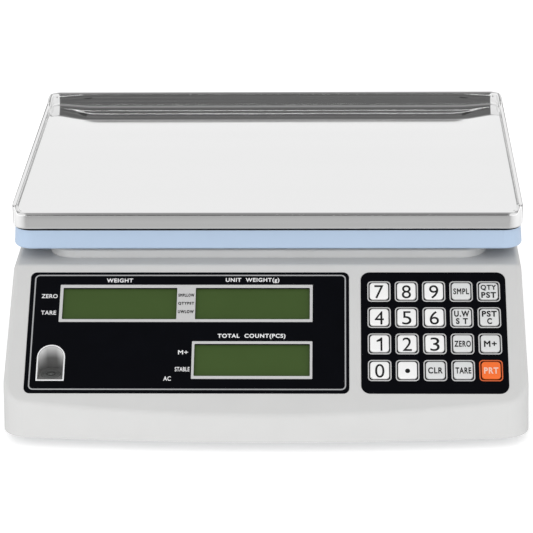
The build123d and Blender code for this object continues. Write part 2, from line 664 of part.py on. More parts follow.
add("power_switch", make_power_switch())
add("power_rocker", make_power_rocker())
add("dc_jack", make_dc_jack())
add("serial_port", make_serial_port())

os.makedirs("parts", exist_ok=True)
for node, part in parts.items():
    export_step(part, os.path.join("parts", node + ".step"))
print(len(parts), "nodes; deck", round(deck_z, 2), "rim", round(rim_z, 2), "depth", round(depth, 2))
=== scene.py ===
import json
import math

import bmesh
import bpy
from mathutils import Matrix, Vector


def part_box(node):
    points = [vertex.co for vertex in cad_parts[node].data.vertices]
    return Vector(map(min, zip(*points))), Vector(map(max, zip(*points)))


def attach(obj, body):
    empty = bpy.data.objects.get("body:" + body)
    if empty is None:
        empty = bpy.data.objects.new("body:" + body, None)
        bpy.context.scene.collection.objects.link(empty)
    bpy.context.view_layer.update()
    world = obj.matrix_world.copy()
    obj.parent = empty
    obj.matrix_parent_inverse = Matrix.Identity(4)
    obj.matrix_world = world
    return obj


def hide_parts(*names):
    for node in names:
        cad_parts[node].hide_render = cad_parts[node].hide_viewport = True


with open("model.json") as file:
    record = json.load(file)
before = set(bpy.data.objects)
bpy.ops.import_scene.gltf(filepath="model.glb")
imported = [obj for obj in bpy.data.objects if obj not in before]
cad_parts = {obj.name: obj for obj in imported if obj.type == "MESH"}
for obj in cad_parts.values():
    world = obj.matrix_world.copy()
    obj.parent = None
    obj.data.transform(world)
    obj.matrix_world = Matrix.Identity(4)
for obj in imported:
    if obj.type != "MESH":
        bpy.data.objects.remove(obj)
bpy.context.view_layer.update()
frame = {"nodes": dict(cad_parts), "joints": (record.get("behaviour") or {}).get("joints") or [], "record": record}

# Counting scale: looks built around the fixed frame. Lengths named here are in millimetres, and MM
# turns them into metres.
MM = 0.001
ACROSS = Vector((1, 0, 0))
scene = bpy.context.scene

# Camera
CAMERA_PLACE = (46.2, -1553.0, 705.7)
CAMERA_YAW, CAMERA_PITCH, CAMERA_ROLL = -1.799, 22.459, -0.697   # degrees
CAMERA_LENS = 162.3
CAMERA_SENSOR = 36.0

# Panel: x across, w down the slope from its upper crease
OVERLAY_TOP = 6.0
DISPLAY_X, OVERLAY_W = (-156.8, 54.6), (6.0, 95.2)
DISPLAY_CORNER = 4.0
INK = 0.04                 # thickness of printed ink
LINE_WIDTH, LINE_INSET_X, LINE_INSET_W = 0.85, (2.7, 2.0), (1.85, 2.4)
UPPER_FRAME_X, UPPER_FRAME_W = (-136.7, 30.6), (15.4, 43.15)
LOWER_FRAME_X, LOWER_FRAME_W = (-48.2, 30.6), (57.4, 84.8)
LCD_WINDOW = (75.6, 23.4)
LCD_CENTRES = {"lcd_weight": (-96.9, 29.4), "lcd_unit_weight": (-9.0, 29.4), "lcd_count": (-8.8, 71.0)}
LCD_DEPTH = 1.7            # glass below the overlay
POCKET_X, POCKET_WIDTH, POCKET_W = -140.2, 16.6, (61.0, 85.4)
POCKET_FRAME = 0.9
# painted shade of the level pocket: dark greys low in its middle, pale greys towards its top and sides
POCKET_PAINTED_SHADE_TONES = ((0.13, 0.13, 0.128), (0.17, 0.17, 0.168), (0.55, 0.55, 0.55), (0.85, 0.85, 0.85))

# Keys
KEY_SIZE, KEY_CORNER = 12.3, 2.2
KEY_RING_SIZE, KEY_RING_CORNER, KEY_RING_WIDTH = 15.3, 2.6, 0.8
KEY_SHIELD_LOW = -2.5      # black sheet round the keys, below the overlays
KEY_CAP_LOW = -1.4
KEY_EDGE = 0.9             # rounding of a key's upper edge
DIGIT_HEIGHT, DIGIT_WIDTH, DIGIT_DROP = 9.8, 6.0, 0.8
ONE_WIDTH, ONE_STEM, ONE_FLAG = 3.7, 1.2, 2.2
WORD_HEIGHT, WORD_DROP = 4.5, 0.45
PAIR_HEIGHT, PAIR_PITCH = 4.4, 5.4
WORD_WEIGHT, PAIR_WEIGHT = 0.030, 0.036    # thickening of the letters
KEY_WORDS = {
    "key_sample": (("SMPL", 10.3),),
    "key_quantity_preset": (("QTY", 10.3), ("PST", 9.7)),
    "key_unit_weight_set": (("U.W", 10.0), ("S T", 7.8)),
    "key_preset_clear": (("PST", 9.8), ("C", 3.2)),
    "key_zero": (("ZERO", 10.8),),
    "key_memory": (("M+", 8.3),),
    "key_clear": (("CLR", 9.5),),
    "key_tare": (("TARE", 10.3),),
    "key_print": (("PRT", 9.3),),
}

# Pan
RIM_WIDTH, RIM_FILLET, PAN_ROLL = 3.0, 1.0, 2.0
FLOOR_DIP, DIP_LENGTH, DIP_FADE = 1.65, 63.0, 36.0   # the floor dips towards the rear wall
WALL_BULGE = 0.12
# the black strip under the pan's skirt is painted shadow, standing in for the shade in that gap
LEDGE_INSET, LEDGE_SHADOW_STRIP = 1.6, (-2.1, -0.15)    # black strip under the pan's skirt
PAN_CORNER = 10.0
PAN_SHEET = 0.8
RIM_END, RIM_END_LENGTH = 1.5, 3.0
RIM_SQUARE = 0.45          # how square the top of a side rim is
REAR_HEIGHT, SIDE_HEIGHT = 9.0, 4.0        # of the rims above the floor
STEP_START, STEP_LENGTH = 12.0, 8.0        # where the rims rise, ahead of the rear edge

# Studio, in metres and degrees
WORLD_STRENGTH, HORIZON, ZENITH = 1.0, (1.02, 1.02, 1.02), (0.74, 0.74, 0.74)
FLOOR_TONE, FLOOR_GLOW = (0.90, 0.90, 0.90), 0.40
FLAG_RADIUS, FLAG_CENTRE = 2.6, 0.13
FLAG_RANGE = (-2.5, 125.0)     # elevations of the front flag's two ends
STREAK, STREAK_WIDTH = 14.30, 0.16
REAR_FLAG = 14.5
FRONT_CARD_Y, RUNNER_Y, REAR_CARD_Y = -0.375, -1.74, 2.2
CARD_LIFT = 0.002              # of a card off the floor
# each flag's dark and pale stripes, and the tone that they turn to
FLAG_TONES = (0.075, 0.21, 0.32)
STREAK_TONES = (4.75, 5.0, 5.0)
RUNNER_TONES = (0.33, 0.37, 0.35)
CARD_TONES = (0.40, 0.49, 0.56)
REAR_TONES = (0.20, 0.26, 0.23)
LIGHTS = (("key_light", (-0.9, -2.1, 1.0), 1.6, 9.0), ("fill_light", (1.1, -2.1, 0.8), 1.4, 2.5))


# ---------------------------------------------------------------- materials

def srgb(red, green, blue):
    """Linear colour for display values from 0 to 255."""
    def linear(value):
        value /= 255
        return value / 12.92 if value <= 0.04045 else ((value + 0.055) / 1.055) ** 2.4
    return (linear(red), linear(green), linear(blue))


def noise(tree, scale, detail=3.0, stretch=(1, 1, 1)):
    """Output of a noise texture in object space, with scale in features per metre."""
    coordinates = tree.nodes.new("ShaderNodeTexCoord")
    mapping = tree.nodes.new("ShaderNodeMapping")
    mapping.inputs["Scale"].default_value = stretch
    texture = tree.nodes.new("ShaderNodeTexNoise")
    texture.inputs["Scale"].default_value = scale
    texture.inputs["Detail"].default_value = detail
    tree.links.new(coordinates.outputs["Object"], mapping.inputs["Vector"])
    tree.links.new(mapping.outputs["Vector"], texture.inputs["Vector"])
    return texture.outputs["Fac"]


def mapped(tree, value, low, high, start=0.3, stop=0.7):
    """The value, taken from start..stop to low..high."""
    node = tree.nodes.new("ShaderNodeMapRange")
    node.inputs["From Min"].default_value = start
    node.inputs["From Max"].default_value = stop
    node.inputs["To Min"].default_value = low
    node.inputs["To Max"].default_value = high
    tree.links.new(value, node.inputs["Value"])
    return node.outputs["Result"]


def blended(tree, factor, first, second):
    """Colour between two colours or colour outputs."""
    node = tree.nodes.new("ShaderNodeMix")
    node.data_type = "RGBA"
    tree.links.new(factor, node.inputs["Factor"])
    for socket, colour in ((node.inputs["A"], first), (node.inputs["B"], second)):
        if isinstance(colour, bpy.types.NodeSocket):
            tree.links.new(colour, socket)
        else:
            socket.default_value = (*colour, 1.0)
    return node.outputs["Result"]


def bumped(tree, shader, height, depth, strength=1.0):
    """Bump of the given depth in millimetres."""
    node = tree.nodes.new("ShaderNodeBump")
    node.inputs["Strength"].default_value = strength
    node.inputs["Distance"].default_value = depth * MM
    tree.links.new(height, node.inputs["Height"])
    tree.links.new(node.outputs["Normal"], shader.inputs["Normal"])


def finish(name, colour, roughness, metallic=0.0, mottle=0.03, mottle_scale=45.0, spread=0.05,
           grain=0.01, grain_scale=1800.0, stretch=(1, 1, 1), level=0.5):
    """A surface with uneven tone, uneven gloss and a fine grain."""
    material = bpy.data.materials.new(name)
    material.use_nodes = True
    tree = material.node_tree
    shader = tree.nodes["Principled BSDF"]
    shader.inputs["Metallic"].default_value = metallic
    shader.inputs["Specular IOR Level"].default_value = level
    patches = noise(tree, mottle_scale, 4.0, stretch)
    darker = [channel * (1 - mottle) for channel in colour]
    lighter = [min(1.0, channel * (1 + mottle)) for channel in colour]
    tone = blended(tree, mapped(tree, patches, 0.0, 1.0), darker, lighter)
    tree.links.new(tone, shader.inputs["Base Color"])
    fine = noise(tree, grain_scale, 2.0, stretch)
    tree.links.new(mapped(tree, fine, roughness - spread, roughness + spread), shader.inputs["Roughness"])
    bumped(tree, shader, fine, grain)
    return material


def make_lcd_material():
    """Unlit reflective display: olive polariser with faint blotches."""
    return finish("lcd_olive", srgb(64, 85, 42), 0.35, mottle_scale=30.0, grain=0.001, grain_scale=900.0,
                  level=0.15)


def make_board_material():
    """Green solder mask over copper traces."""
    material = finish("solder_mask", (0.02, 0.16, 0.07), 0.35, grain=0.004)
    tree = material.node_tree
    shader = tree.nodes["Principled BSDF"]
    coordinates = tree.nodes.new("ShaderNodeTexCoord")
    traces = tree.nodes.new("ShaderNodeTexBrick")
    traces.inputs["Scale"].default_value = 260.0
    traces.inputs["Mortar Size"].default_value = 0.03
    tree.links.new(coordinates.outputs["Object"], traces.inputs["Vector"])
    base = shader.inputs["Base Color"].links[0].from_socket
    tone = blended(tree, traces.outputs["Fac"], base, (0.05, 0.30, 0.12))
    tree.links.new(tone, shader.inputs["Base Color"])
    return material


def make_pan_material():
    """Polished stainless sheet: long fine polishing lines and a slight waviness."""
    return finish("polished_stainless", (0.90, 0.90, 0.90), 0.04, metallic=1.0, mottle=0.012,
                  mottle_scale=12.0, spread=0.01, grain=0.0005, grain_scale=700.0,
                  stretch=(0.02, 1.0, 1.0))


materials = {
    "housing_white": finish("housing_abs", (0.62, 0.62, 0.615), 0.45, mottle=0.012, grain=0.012,
                            grain_scale=1500.0, level=0.4),
    "plate_grey": finish("powder_coat", (0.30, 0.31, 0.32), 0.55, mottle=0.06, grain=0.05,
                         grain_scale=900.0),
    "zinc_steel": finish("zinc_plating", (0.62, 0.63, 0.64), 0.30, metallic=1.0, mottle=0.08,
                         mottle_scale=300.0, spread=0.10),
    "cell_aluminium": finish("milled_aluminium", (0.78, 0.78, 0.79), 0.30, metallic=1.0, mottle=0.03,
                             spread=0.12, grain=0.006, stretch=(0.05, 1.0, 1.0)),
    "support_blue": finish("support_abs", (0.435, 0.55, 0.71), 0.38, mottle=0.012, grain=0.010, level=0.4),
    "pan_stainless": make_pan_material(),
    "overlay_black": finish("overlay_film", srgb(6, 7, 12), 0.42, mottle=0.10, mottle_scale=80.0,
                            grain=0.004, grain_scale=2600.0, level=0.05),
    "key_white": finish("key_white_gloss", (0.88, 0.88, 0.875), 0.25, mottle=0.010, grain=0.003),
    "key_grey": finish("key_grey_gloss", (0.70, 0.71, 0.71), 0.25, mottle=0.015, grain=0.003),
    "key_orange": finish("key_orange_gloss", srgb(244, 112, 44), 0.22, mottle=0.03, grain=0.003),
    "silicone": finish("silicone_grey", (0.55, 0.56, 0.57), 0.60, grain=0.004),
    "foot_rubber": finish("foot_rubber", (0.025, 0.025, 0.025), 0.75, mottle=0.12, grain=0.03),
    "board_green": make_board_material(),
    "lcd_glass": make_lcd_material(),
    "vial_clear": finish("vial_smoke", srgb(84, 86, 85), 0.30, grain=0.0005),
    "battery_black": finish("battery_case", (0.045, 0.045, 0.05), 0.50, grain=0.02),
    "cable_black": finish("cable_sheath", (0.02, 0.02, 0.02), 0.50, grain=0.01),
    "nylon_white": finish("nylon", (0.72, 0.72, 0.69), 0.50, grain=0.008),
    "switch_black": finish("switch_nylon", (0.022, 0.022, 0.023), 0.45, grain=0.02, grain_scale=2500.0),
    "port_steel": finish("tin_plate", (0.70, 0.70, 0.71), 0.22, metallic=1.0, mottle=0.04, spread=0.06),
}
ink_white = finish("ink_white", (0.80, 0.80, 0.81), 0.50, mottle=0.02, grain=0.002)
ink_silver = finish("ink_silver", srgb(196, 196, 196), 0.45, mottle=0.025, mottle_scale=900.0, grain=0.002)
ink_line = finish("ink_line", srgb(165, 166, 168), 0.45, mottle=0.02, grain=0.002)
ink_black = finish("ink_black", srgb(14, 14, 15), 0.45, mottle=0.05, grain=0.002, level=0.25)
ink_pale = finish("ink_pale", srgb(236, 196, 178), 0.45, mottle=0.02, grain=0.002)
ring_silver = finish("ring_silver", srgb(196, 196, 196), 0.35, mottle=0.06, mottle_scale=250.0, grain=0.004)
ring_orange = finish("ring_orange", srgb(214, 98, 44), 0.35, mottle=0.06, mottle_scale=250.0, grain=0.004)
bubble_grey = finish("bubble_grey", srgb(104, 108, 106), 0.15, mottle=0.02, grain=0.0005)
brass = finish("gilded_brass", (0.75, 0.55, 0.22), 0.25, metallic=1.0, mottle=0.05)
# black of the real gaskets, also used for the painted shadow on the ledge strip
gasket_and_shadow_black = finish("gasket_foam_and_shadow_black", (0.010, 0.010, 0.011), 0.80, grain=0.02, level=0.1)


# ---------------------------------------------------------------- meshes

def curve_mesh(curve):
    """Mesh of a curve or a text, in its own axes."""
    holder = bpy.data.objects.new(curve.name, curve)
    scene.collection.objects.link(holder)
    mesh = bpy.data.meshes.new_from_object(holder.evaluated_get(bpy.context.evaluated_depsgraph_get()))
    bpy.data.objects.remove(holder)
    return mesh


def plate(outlines, thickness, edge=0.0):
    """A flat plate from z 0 up. The first outline is its edge and the others are holes in it."""
    curve = bpy.data.curves.new("plate", "CURVE")
    curve.dimensions = "2D"
    curve.fill_mode = "BOTH"
    curve.extrude = (thickness / 2 - edge) * MM
    curve.bevel_depth = edge * MM
    curve.bevel_resolution = 2
    curve.offset = -edge * MM
    for outline in outlines:
        spline = curve.splines.new("POLY")
        spline.points.add(len(outline) - 1)
        for point, (x, y) in zip(spline.points, outline):
            point.co = (x * MM, y * MM, 0, 1)
        spline.use_cyclic_u = True
    mesh = curve_mesh(curve)
    mesh.transform(Matrix.Translation((0, 0, thickness / 2 * MM)))
    return mesh


def lettering(text, height, width=None, weight=0.0, thickness=INK):
    """Printed letters from z 0 up, centred. Without a width they keep the type's own proportions."""
    curve = bpy.data.curves.new("lettering", "FONT")
    curve.body = text
    curve.extrude = 0.5
    curve.bevel_depth = weight
    curve.bevel_resolution = 0
    curve.space_character = 1 + 5 * weight
    mesh = curve_mesh(curve)
    xs, ys = [v.co.x for v in mesh.vertices], [v.co.y for v in mesh.vertices]
    scale_y = height * MM / (max(ys) - min(ys))
    scale_x = width * MM / (max(xs) - min(xs)) if width else scale_y
    half = 0.5 + weight
    centre = Matrix.Translation((-(max(xs) + min(xs)) / 2, -(max(ys) + min(ys)) / 2, half))
    mesh.transform(Matrix.Diagonal((scale_x, scale_y, thickness * MM / (2 * half), 1)) @ centre)
    return mesh


def rounded(width, height, radius, steps=8):
    """Outline of a rounded rectangle about the middle, anticlockwise."""
    points = []
    for corner, (side_x, side_y) in enumerate(((1, 1), (-1, 1), (-1, -1), (1, -1))):
        for step in range(steps + 1):
            angle = math.pi / 2 * (corner + step / steps)
            points.append((side_x * (width / 2 - radius) + radius * math.cos(angle),
                           side_y * (height / 2 - radius) + radius * math.sin(angle)))
    return points


def circle(radius, steps=48, centre=(0.0, 0.0)):
    return [(centre[0] + radius * math.cos(2 * math.pi * i / steps),
             centre[1] + radius * math.sin(2 * math.pi * i / steps)) for i in range(steps)]


def moved(outline, x, y):
    return [(px + x, py + y) for px, py in outline]


def arch(margin, steps=24):
    """Outline of the level pocket on the panel, about the pocket's X, with y down the slope negative."""
    radius = POCKET_WIDTH / 2 + margin
    top, bottom = POCKET_W[0] - margin, POCKET_W[1] + margin
    bend = arc((0.0, -(top + radius)), radius, 0, 180, steps)
    return [*bend, (-radius, -bottom), (radius, -bottom)]


def loft(rings, cap_first=False, cap_last=False, closed=False):
    """Mesh through rings of points in millimetres that all have the same number of points."""
    mesh = bpy.data.meshes.new("loft")
    bm = bmesh.new()
    layers = [[bm.verts.new([c * MM for c in point]) for point in ring] for ring in rings]
    pairs = list(zip(layers, layers[1:]))
    if closed:
        pairs.append((layers[-1], layers[0]))
    for lower, upper in pairs:
        for i in range(len(lower)):
            j = (i + 1) % len(lower)
            bm.faces.new((lower[i], lower[j], upper[j], upper[i]))
    if cap_first:
        bm.faces.new(list(reversed(layers[0])))
    if cap_last:
        bm.faces.new(layers[-1])
    bmesh.ops.recalc_face_normals(bm, faces=bm.faces)
    bm.to_mesh(mesh)
    bm.free()
    return mesh


def arc(centre, radius, start, stop, steps):
    """Points of an arc, with angles in degrees."""
    angles = [math.radians(start + (stop - start) * i / steps) for i in range(steps + 1)]
    return [(centre[0] + radius * math.cos(a), centre[1] + radius * math.sin(a)) for a in angles]


def joined(parts):
    """One mesh from pairs of mesh and place."""
    bm = bmesh.new()
    for mesh, place in parts:
        before = len(bm.verts)
        bm.from_mesh(mesh)
        bm.verts.ensure_lookup_table()
        bmesh.ops.transform(bm, matrix=place, verts=bm.verts[before:])
    result = bpy.data.meshes.new("joined")
    bm.to_mesh(result)
    bm.free()
    return result


def piece(name, mesh, material, body, place=Matrix.Identity(4), crease=35.0):
    """A shown piece that rides on a body. Edges sharper than crease, in degrees, stay sharp."""
    cleaned = bmesh.new()
    cleaned.from_mesh(mesh)
    bmesh.ops.remove_doubles(cleaned, verts=cleaned.verts, dist=1e-7)
    bmesh.ops.recalc_face_normals(cleaned, faces=cleaned.faces)
    cleaned.to_mesh(mesh)
    cleaned.free()
    mesh.name = name
    mesh.materials.clear()
    mesh.materials.append(material)
    mesh.shade_smooth()
    mesh.set_sharp_from_angle(angle=math.radians(crease))
    made = bpy.data.objects.new(name, mesh)
    scene.collection.objects.link(made)
    made.matrix_world = place
    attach(made, body)
    return made


# ---------------------------------------------------------------- the sloped panel's own axes

def joint_axis(name):
    return Vector(next(j["axis"] for j in frame["joints"] if j["name"] == name)).normalized()


panel_out = -joint_axis("key_5_press")
panel_up = panel_out.cross(ACROSS).normalized()
panel_turn = Matrix((ACROSS, panel_up, panel_out)).transposed().to_4x4()
overlay_points = [v.co for v in frame["nodes"]["display_overlay"].data.vertices]
overlay_height = max(p.dot(panel_out) for p in overlay_points)
overlay_edge = max(p.dot(panel_up) for p in overlay_points)


def on_panel(x, w, h=0.0):
    """Place on the panel: x across, w down the slope from its crease, h above the overlays."""
    place = (ACROSS * (x * MM) + panel_up * (overlay_edge - (w - OVERLAY_TOP) * MM)
             + panel_out * (overlay_height + h * MM))
    return Matrix.Translation(place) @ panel_turn


def key_place(node):
    """Where a key's crown is: its middle on the panel, and its height above the overlays."""
    points = [v.co for v in frame["nodes"][node].data.vertices]
    low_x, high_x = min(p.x for p in points), max(p.x for p in points)
    ups = [p.dot(panel_up) for p in points]
    top = max(p.dot(panel_out) for p in points)
    w = OVERLAY_TOP + (overlay_edge - (max(ups) + min(ups)) / 2) / MM
    return (low_x + high_x) / 2 / MM, w, (top - overlay_height) / MM


# ---------------------------------------------------------------- pan

pan_low, pan_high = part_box("pan")
pan_floor = pan_high.z - REAR_HEIGHT * MM


def eased(t):
    """0 below 0, 1 above 1, and a smooth step between."""
    t = min(1.0, max(0.0, t))
    return t * t * (3 - 2 * t)


def flattened(points, centre, flat):
    """An arc about a centre, squared off by a share so that its top is flat."""
    squared = []
    for x, y in points:
        across, up = x - centre[0], y - centre[1]
        longest = max(abs(across), abs(up)) or 1.0
        stretch = 1 + flat * RIM_SQUARE * (math.hypot(across, up) / longest - 1)
        squared.append((centre[0] + across * stretch, centre[1] + up * stretch))
    return squared


def pan_profile(share, height):
    """Section through the pan's edge as (inwards, up from the floor). Share 1 is the folded rim of
    a height and share 0 is the front, where the floor rolls down into the skirt."""
    skirt = (pan_low.z - pan_floor) / MM
    rim_radius = RIM_WIDTH / 2
    wall_low, wall_high = RIM_FILLET, height - rim_radius
    flat = (REAR_HEIGHT - height) / (REAR_HEIGHT - SIDE_HEIGHT)
    bulge = WALL_BULGE * (1 - flat)
    lower_edge = [(0.0, skirt + 1.2), *arc((0.35, skirt + 0.35), 0.35, 180, 250, 3)]
    rim = [(PAN_CORNER, 0.0), (7.0, 0.0)]
    rim += arc((RIM_WIDTH + RIM_FILLET, RIM_FILLET), RIM_FILLET, 270, 180, 8)
    rim += [(RIM_WIDTH + bulge * math.sin(math.pi * i / 6), wall_low + (wall_high - wall_low) * i / 6)
            for i in range(1, 6)]
    rim += flattened(arc((rim_radius, wall_high), rim_radius, 0, 180, 20), (rim_radius, wall_high), flat)
    rim += [(0.0, height * 0.55), (0.0, height * 0.1), *lower_edge]
    front = [(PAN_CORNER, 0.0), (7.0, 0.0)]
    front += [(RIM_WIDTH + RIM_FILLET - RIM_FILLET * i / 13, 0.0) for i in range(14)]
    front += arc((PAN_ROLL, -PAN_ROLL), PAN_ROLL, 90, 180, 20)
    front += [(0.0, -PAN_ROLL - 0.8), (0.0, -PAN_ROLL - 1.6), *lower_edge]
    return [(a[0] * share + b[0] * (1 - share), a[1] * share + b[1] * (1 - share))
            for a, b in zip(rim, front)]


def make_pan():
    """Pressed sheet with a folded rim on three sides, high at the rear and low at the sides."""
    width, depth = (pan_high.x - pan_low.x) / MM, (pan_high.y - pan_low.y) / MM
    middle = Vector(((pan_low.x + pan_high.x) / 2, (pan_low.y + pan_high.y) / 2, pan_floor)) / MM
    corner_steps, side_steps = 14, 48

    def dip(x, y):
        """How far the floor has sunk at a place."""
        towards_rear = eased((y - (depth / 2 - RIM_WIDTH - DIP_LENGTH)) / DIP_LENGTH)
        return FLOOR_DIP * towards_rear * eased((width / 2 - abs(x)) / DIP_FADE)

    def between(t):
        """Share of a side at a step, closer together near the two ends of the side."""
        return (1 - math.cos(math.pi * t / side_steps)) / 2

    half_x, half_y = width / 2 - PAN_CORNER, depth / 2 - PAN_CORNER
    path = []
    for corner, (side_x, side_y) in enumerate(((1, 1), (-1, 1), (-1, -1), (1, -1))):
        centre = (side_x * half_x, side_y * half_y)
        for step in range(corner_steps + 1):
            angle = math.pi / 2 * (corner + step / corner_steps)
            path.append((centre, (math.cos(angle), math.sin(angle))))
        out = path[-1][1]
        following = (-side_y * half_x, side_x * half_y)
        for step in range(1, side_steps):
            share = between(step)
            path.append((tuple(a + (b - a) * share for a, b in zip(centre, following)), out))
    sections = []
    for centre, out in path:
        behind_front = centre[1] + PAN_CORNER * out[1] + depth / 2
        rise = eased((behind_front - depth + STEP_START) / STEP_LENGTH)
        sections.append(pan_profile(eased((behind_front - RIM_END) / RIM_END_LENGTH),
                                    SIDE_HEIGHT + (REAR_HEIGHT - SIDE_HEIGHT) * rise))
    rings = []
    for level in range(len(sections[0])):
        ring = []
        for (centre, out), section in zip(path, sections):
            inwards, up = section[level]
            reach = PAN_CORNER - inwards
            x, y = centre[0] + out[0] * reach, centre[1] + out[1] * reach
            sunk = dip(x, y) * (1 - eased(up / RIM_FILLET / 2)) if level < 16 else 0.0
            ring.append((middle.x + x, middle.y + y, middle.z + up - sunk))
        rings.append(ring)
    # the floor, in rows that meet the first ring
    xs = [half_x * (1 - 2 * between(step)) for step in range(side_steps + 1)]
    ys = [half_y * (1 - 2 * between(step)) for step in range(side_steps + 1)]
    floor = bpy.data.meshes.new("floor")
    points = [Vector((middle.x + x, middle.y + y, middle.z - dip(x, y))) * MM for y in ys for x in xs]
    row = side_steps + 1
    floor.from_pydata(points, [], [(j * row + i, j * row + i + 1, (j + 1) * row + i + 1, (j + 1) * row + i)
                                   for j in range(side_steps) for i in range(side_steps)])
    mesh = joined([(loft(rings), Matrix.Identity(4)), (floor, Matrix.Identity(4))])
    pan = piece("pan_tray", mesh, materials["pan_stainless"], "pan", crease=60.0)
    sheet = pan.modifiers.new("sheet", "SOLIDIFY")
    sheet.thickness = PAN_SHEET * MM
    sheet.offset = -1.0
    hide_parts("pan")


def make_ledge_shadow_strip():
    """Black strip on the support's ledge, in the gap under the pan's skirt: painted shadow in place of that gap's
    shade.
    """
    low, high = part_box("pan_support")
    outline = [(high.x - low.x) / MM - LEDGE_INSET, (high.y - low.y) / MM - LEDGE_INSET]
    strip = plate([rounded(*outline, 11.8), rounded(outline[0] - 13.0, outline[1] - 13.0, 8.0)],
                  LEDGE_SHADOW_STRIP[1] - LEDGE_SHADOW_STRIP[0], 0.15)
    middle = (low + high) / 2
    place = Matrix.Translation((middle.x, middle.y, pan_low.z + LEDGE_SHADOW_STRIP[0] * MM))
    # painted shadow: a black strip where the gap under the skirt is only shade
    piece("ledge_shadow_strip", strip, gasket_and_shadow_black, "platform", place)


# ---------------------------------------------------------------- keys

def make_keys():
    silver_rings = []
    for name in sorted(n for n in frame["nodes"] if n.startswith("key_") and n + "_press" in joint_names):
        x, w, top = key_place(name)
        material_slot = slots[name]
        rings = []
        for inset, height in [(0.0, KEY_CAP_LOW), *arc((KEY_EDGE, top - KEY_EDGE), KEY_EDGE, 180, 90, 7)]:
            outline = rounded(KEY_SIZE - 2 * inset, KEY_SIZE - 2 * inset, KEY_CORNER - inset)
            rings.append([(px, py, height) for px, py in outline])
        cap = piece(name + "_cap", loft(rings, cap_first=True, cap_last=True), materials[material_slot],
                    name, on_panel(x, w))
        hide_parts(name)
        make_legend(name, x, w, top)
        ring = make_ring()
        if name == "key_print":
            piece("print_key_ring", ring, ring_orange, "housing", on_panel(x, w))
        else:
            silver_rings.append((ring, on_panel(x, w)))
    piece("key_rings", joined(silver_rings), ring_silver, "housing")
    first_x, first_w, _ = key_place("key_7")
    last_x, last_w, _ = key_place("key_print")
    shield = plate([rounded(last_x - first_x + 15.0, last_w - first_w + 15.0, 2.0)], 0.12)
    place = on_panel((first_x + last_x) / 2, (first_w + last_w) / 2, KEY_SHIELD_LOW)
    piece("keypad_shield", shield, gasket_and_shadow_black, "housing", place)


def make_ring():
    """Low half-round bead along a rounded square, round a key."""
    middle_size, middle_corner = KEY_RING_SIZE - KEY_RING_WIDTH, KEY_RING_CORNER - KEY_RING_WIDTH / 2
    rings = []
    for out, up in arc((0.0, 0.0), KEY_RING_WIDTH / 2, 0, 180, 8):
        outline = rounded(middle_size + 2 * out, middle_size + 2 * out, middle_corner + out)
        rings.append([(px, py, up * 0.5) for px, py in outline])
    return loft(rings, closed=True)


def make_legend(name, x, w, top):
    """What is printed on a key."""
    symbol = name[len("key_"):]
    lift = top + 0.01
    drop = DIGIT_DROP
    if name in KEY_WORDS:
        lines = KEY_WORDS[name]
        drop = WORD_DROP
        height, weight = (WORD_HEIGHT, WORD_WEIGHT) if len(lines) == 1 else (PAIR_HEIGHT, PAIR_WEIGHT)
        parts = []
        for i, (word, width) in enumerate(lines):
            shift = ((len(lines) - 1) / 2 - i) * PAIR_PITCH
            parts.append((lettering(word, height, width, weight), Matrix.Translation((0, shift * MM, 0))))
        mesh = joined(parts)
    elif symbol == "point":
        mesh = plate([circle(1.6)], INK)
    elif symbol == "1":
        top, flag = DIGIT_HEIGHT / 2, DIGIT_HEIGHT / 2 - ONE_FLAG
        right = ONE_WIDTH / 2
        left = right - ONE_STEM
        mesh = plate([[(right, -top), (right, top), (left + 0.25, top), (left - 0.5, top - 0.95),
                       (-right, flag + 0.1), (-right, flag - 1.05), (left, flag - 0.35), (left, -top)]], INK)
    else:
        mesh = lettering(symbol, DIGIT_HEIGHT, DIGIT_WIDTH)
    ink = ink_pale if name == "key_print" else ink_black
    piece(name + "_legend", mesh, ink, name, on_panel(x, w + drop, lift))


# ---------------------------------------------------------------- printed overlay

def make_frames():
    """Silver frames round the displays, and the fine line inside the overlay's edge."""
    def window(node):
        x, w = LCD_CENTRES[node]
        return moved(rounded(LCD_WINDOW[0], LCD_WINDOW[1], 0.6, 3), x, -w)

    def box_outline(x_range, w_range, radius=0.4):
        outline = rounded(x_range[1] - x_range[0], w_range[1] - w_range[0], radius, 6)
        return moved(outline, sum(x_range) / 2, -sum(w_range) / 2)

    place = on_panel(0, 0)
    upper_outlines = [box_outline(UPPER_FRAME_X, UPPER_FRAME_W), window("lcd_weight"),
                      window("lcd_unit_weight")]
    upper = plate(upper_outlines, INK)
    piece("upper_display_frame", upper, ink_silver, "housing", place)
    lower = plate([box_outline(LOWER_FRAME_X, LOWER_FRAME_W), window("lcd_count")], INK)
    piece("lower_display_frame", lower, ink_silver, "housing", place)
    outer_x = (DISPLAY_X[0] + LINE_INSET_X[0], DISPLAY_X[1] - LINE_INSET_X[1])
    outer_w = (OVERLAY_W[0] + LINE_INSET_W[0], OVERLAY_W[1] - LINE_INSET_W[1])
    inner_x = (outer_x[0] + LINE_WIDTH, outer_x[1] - LINE_WIDTH)
    inner_w = (outer_w[0] + LINE_WIDTH, outer_w[1] - LINE_WIDTH)
    line = plate([box_outline(outer_x, outer_w, DISPLAY_CORNER - 0.8),
                  box_outline(inner_x, inner_w, DISPLAY_CORNER - 1.6)], INK)
    piece("overlay_line", line, ink_line, "housing", place)
    gaskets = []
    for x, w in LCD_CENTRES.values():
        margin = 0.55
        ring = plate([rounded(LCD_WINDOW[0] + 2 * margin, LCD_WINDOW[1] + 2 * margin, 0.9, 3),
                      rounded(LCD_WINDOW[0], LCD_WINDOW[1], 0.6, 3)], LCD_DEPTH - 0.62)
        gaskets.append((ring, on_panel(x, w, -LCD_DEPTH + 0.01)))
    piece("display_gaskets", joined(gaskets), gasket_and_shadow_black, "housing")


